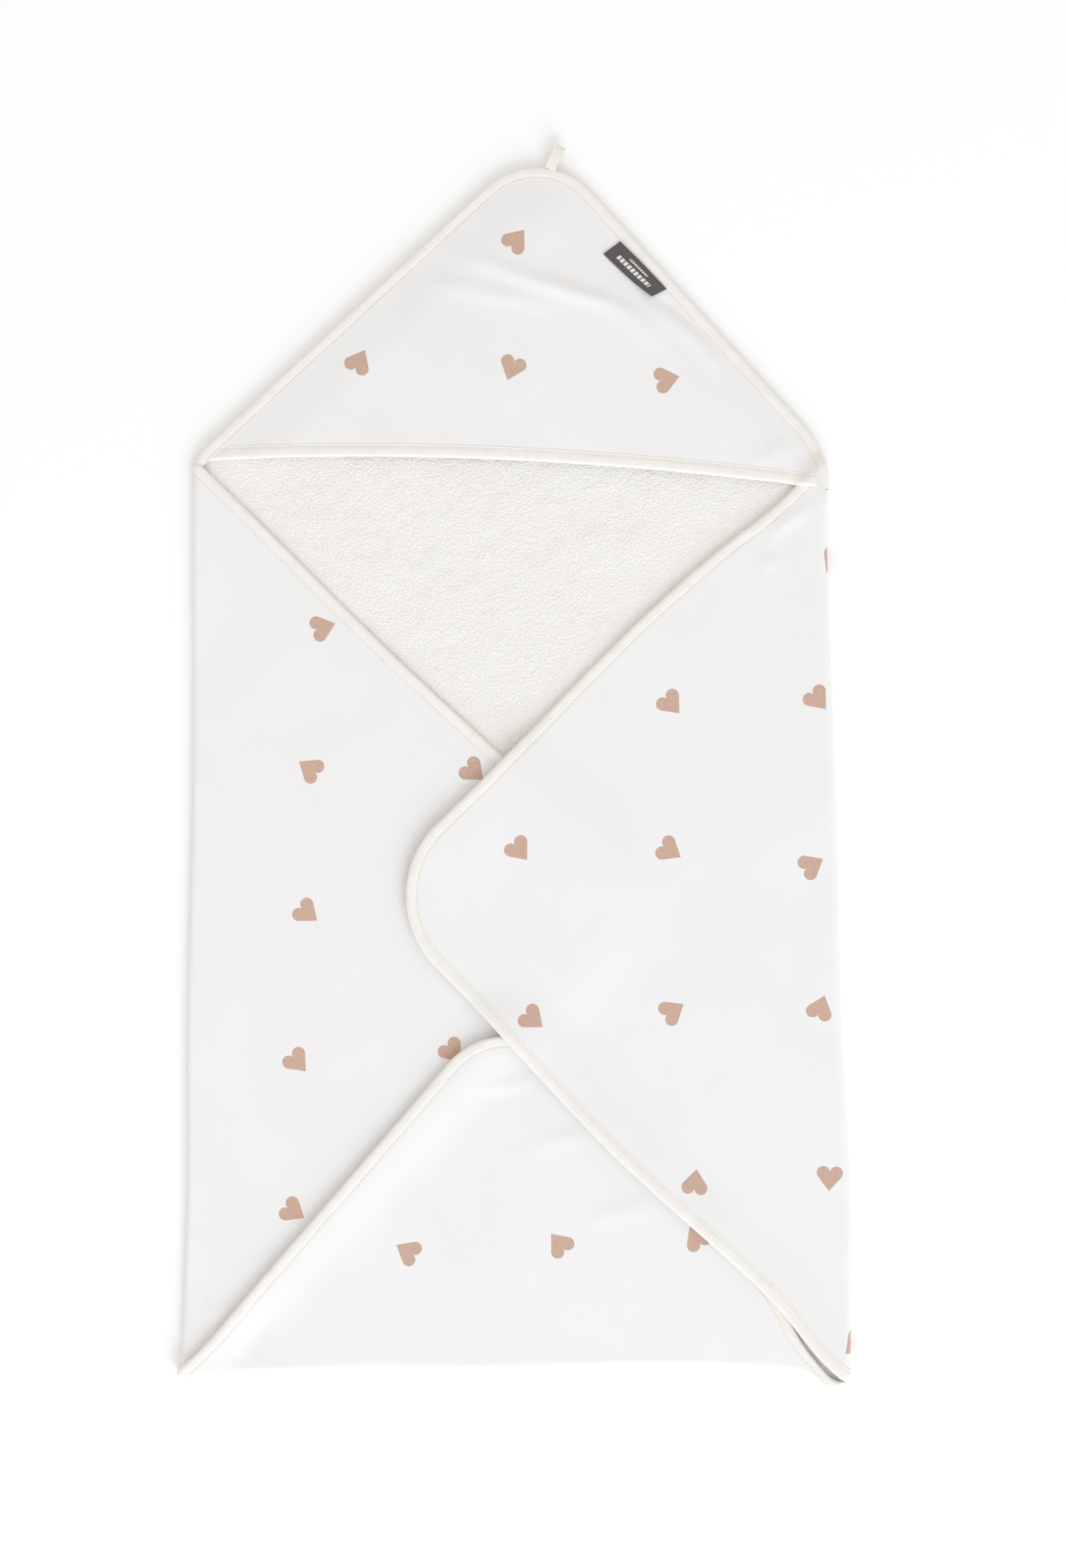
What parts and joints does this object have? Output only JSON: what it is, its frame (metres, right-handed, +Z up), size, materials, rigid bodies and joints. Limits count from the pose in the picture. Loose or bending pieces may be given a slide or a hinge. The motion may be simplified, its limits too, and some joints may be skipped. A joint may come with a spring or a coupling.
{
  "type": "hooded baby towel",
  "caption": "Square hooded baby towel laid face up with sides and foot folded in; the flaps unfold, the hood lifts to take a head and a loop hangs it.",
  "frame": {"origin": "on the table, under the middle of the folded towel's bounding box", "axes": "+X to the right as laid, +Y towards the tip of the hood, +Z up from the table"},
  "size_m": [0.475, 0.8774, 0.0162],
  "materials": {
    "printed_jersey": "cotton jersey knit, off-white with a printed heart motif, matt",
    "terry": "looped cotton terry, off-white, matt",
    "bias_tape": "cotton bias tape, cream, matt",
    "thread": "spun polyester sewing thread, cream",
    "woven_label": "woven damask label, dark charcoal with pale bars"
  },
  "bodies": {
    "back": {"back_jersey": "printed_jersey", "back_terry": "terry", "back_binding": "bias_tape"},
    "hood": {"hood_jersey": "printed_jersey", "hood_terry": "terry", "hood_edge_binding": "bias_tape", "hood_edge_topstitch": "thread", "hood_hem_binding": "bias_tape", "hood_hem_topstitch": "thread", "woven_label": "woven_label"},
    "loop": {"hanging_loop": "bias_tape"},
    "left_flap": {"left_flap_jersey": "printed_jersey", "left_flap_terry": "terry", "left_flap_binding": "bias_tape", "left_flap_topstitch": "thread"},
    "foot_flap": {"foot_flap_jersey": "printed_jersey", "foot_flap_terry": "terry", "foot_flap_binding": "bias_tape", "foot_flap_topstitch": "thread"},
    "right_flap": {"right_flap_jersey": "printed_jersey", "right_flap_terry": "terry", "right_flap_binding": "bias_tape", "right_flap_topstitch": "thread"}
  },
  "joints": [
    {"name": "right_flap_fold", "type": "hinge", "parent": "back", "child": "right_flap", "pos_m": [0.2299, -0.10893, 0.0078], "axis": [-0.023, 0.9997, 0], "range_deg": [0, 175]},
    {"name": "foot_flap_fold", "type": "hinge", "parent": "back", "child": "foot_flap", "pos_m": [0, -0.43711, 0.0057], "axis": [1, -0.0065, 0], "range_deg": [0, 149]},
    {"name": "left_flap_fold", "type": "hinge", "parent": "back", "child": "left_flap", "pos_m": [-0.2331, -0.10978, 0.0036], "axis": [-0.0135, -0.9999, 0], "range_deg": [0, 97]},
    {"name": "hood_lift", "type": "hinge", "parent": "back", "child": "hood", "pos_m": [0.0186, 0.424, 0.0082], "axis": [-1, 0, 0], "range_deg": [0, 15]},
    {"name": "loop_swing", "type": "hinge", "parent": "back", "child": "loop", "pos_m": [0.02547, 0.42169, 0.0057], "axis": [0.891, -0.454, 0], "range_deg": [0, 35]}
  ],
  "couplings": [
    {"joint": "foot_flap_fold", "follows": "right_flap_fold", "ratio": 0.85},
    {"joint": "left_flap_fold", "follows": "right_flap_fold", "ratio": 0.55}
  ]
}
